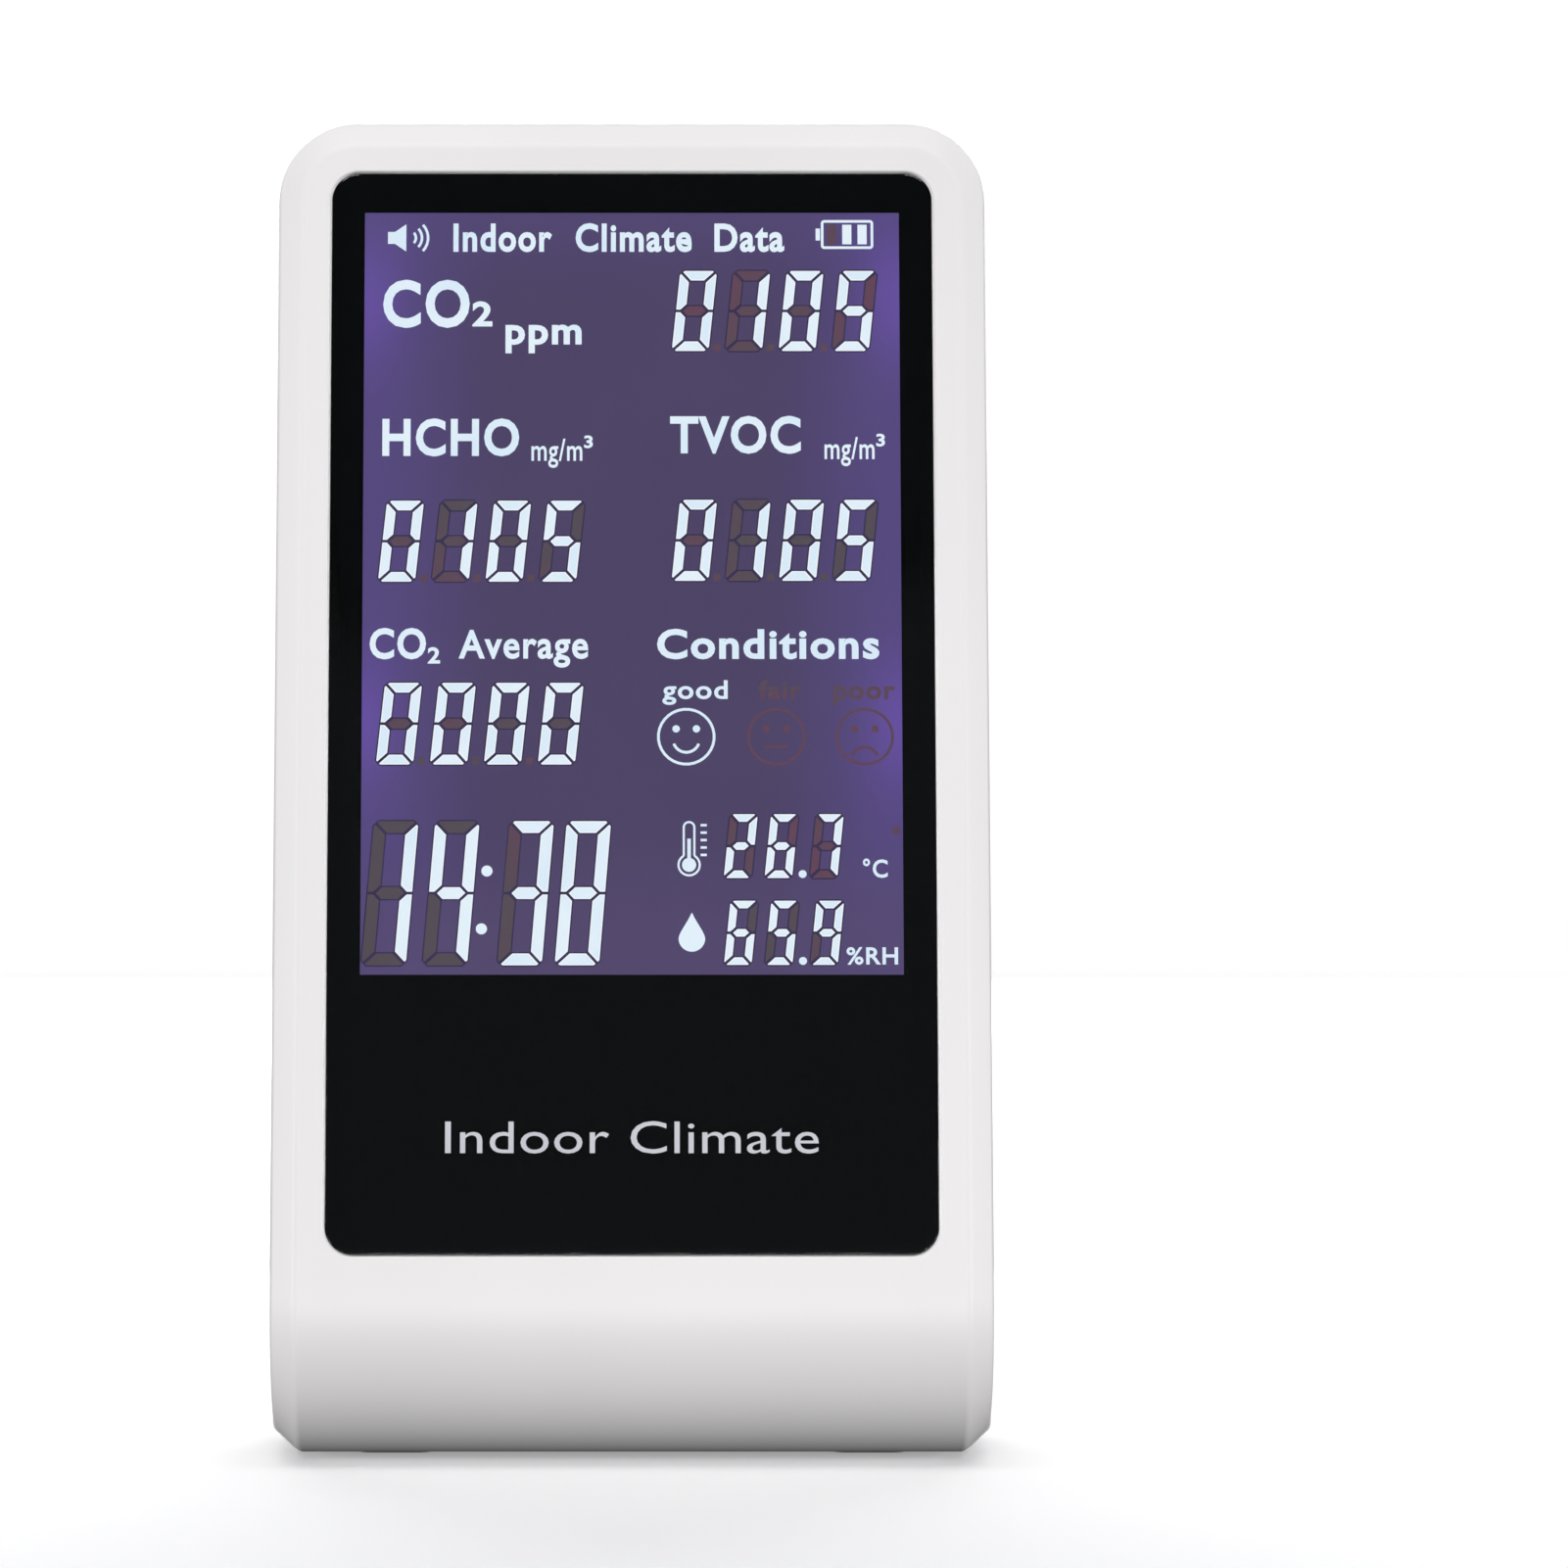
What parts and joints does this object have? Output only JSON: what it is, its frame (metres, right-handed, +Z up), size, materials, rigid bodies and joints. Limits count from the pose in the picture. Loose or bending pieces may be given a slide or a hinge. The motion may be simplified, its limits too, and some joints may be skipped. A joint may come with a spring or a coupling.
{
  "type": "air quality monitor",
  "caption": "Desk air quality monitor with a leaning front, a large segment display behind a black lens, air slots at the back and push buttons.",
  "frame": {"origin": "on the resting surface, under the middle of the body", "axes": "+Z up, the display faces -Y and leans back, +X to the right of someone who reads it"},
  "size_m": [0.0816, 0.043, 0.1524],
  "materials": {
    "white_shell": "satin white",
    "rubber": "matt",
    "lens": "polished clear",
    "black_ink": "black",
    "foam_tape": "matt",
    "lcd": "smooth",
    "lcd_segment": "lit",
    "lcd_ghost": "unlit segment",
    "print_grey": "screen print",
    "white_frame": "moulded",
    "acrylic": "clear",
    "reflector": "white film",
    "led": "phosphor",
    "elastomer": "matt",
    "circuit_board": "solder mask",
    "chip": "moulded",
    "black_plastic": "moulded",
    "ivory_plastic": "moulded",
    "cell": "laminate foil",
    "yellow_tape": "film",
    "wire": "insulation",
    "steel": "plated",
    "sensor_can": "plated",
    "brass_can": "plated",
    "white_part": "moulded",
    "mesh": "woven",
    "button": "satin"
  },
  "bodies": {
    "housing": {"front_shell": "white_shell", "rear_shell": "white_shell", "rubber_feet": "rubber", "display_lens": "lens", "lens_mask": "black_ink", "lens_tape": "foam_tape", "lcd_panel": "lcd", "lcd_frame": "white_frame", "light_guide": "acrylic", "reflector_film": "reflector", "backlight_leds": "led", "lcd_connector": "elastomer", "main_board": "circuit_board", "board_chips": "chip", "buzzer": "black_plastic", "battery_socket": "ivory_plastic", "battery_pack": "cell", "battery_tape": "yellow_tape", "battery_leads": "wire", "power_board": "circuit_board", "usb_socket": "steel", "power_board_chips": "chip", "power_leads": "wire", "sensor_board": "circuit_board", "hcho_sensor": "sensor_can", "co2_sensor": "brass_can", "tvoc_sensor": "sensor_can", "humidity_sensor": "white_part", "sensor_leads": "wire", "vent_mesh": "mesh", "button_board": "circuit_board", "tact_switches": "black_plastic", "button_leads": "wire", "case_screws": "steel", "main_board_screws": "steel", "sensor_board_screws": "steel", "button_board_screws": "steel", "power_board_screws": "steel"},
    "power_key": {"power_button": "button", "power_plunger": "black_plastic"},
    "mode_key": {"mode_button": "button", "mode_plunger": "black_plastic"},
    "alarm_key": {"alarm_button": "button", "alarm_plunger": "black_plastic"}
  },
  "joints": [
    {"name": "power_press", "type": "slide", "parent": "housing", "child": "power_key", "axis": [0, -1, 0], "range_m": [0, 0.0004], "stiffness_N_per_m": 4000, "springref_m": -0.00005},
    {"name": "mode_press", "type": "slide", "parent": "housing", "child": "mode_key", "axis": [0, -1, 0], "range_m": [0, 0.0004], "stiffness_N_per_m": 4000, "springref_m": -0.00005},
    {"name": "alarm_press", "type": "slide", "parent": "housing", "child": "alarm_key", "axis": [0, -1, 0], "range_m": [0, 0.0004], "stiffness_N_per_m": 4000, "springref_m": -0.00005}
  ]
}
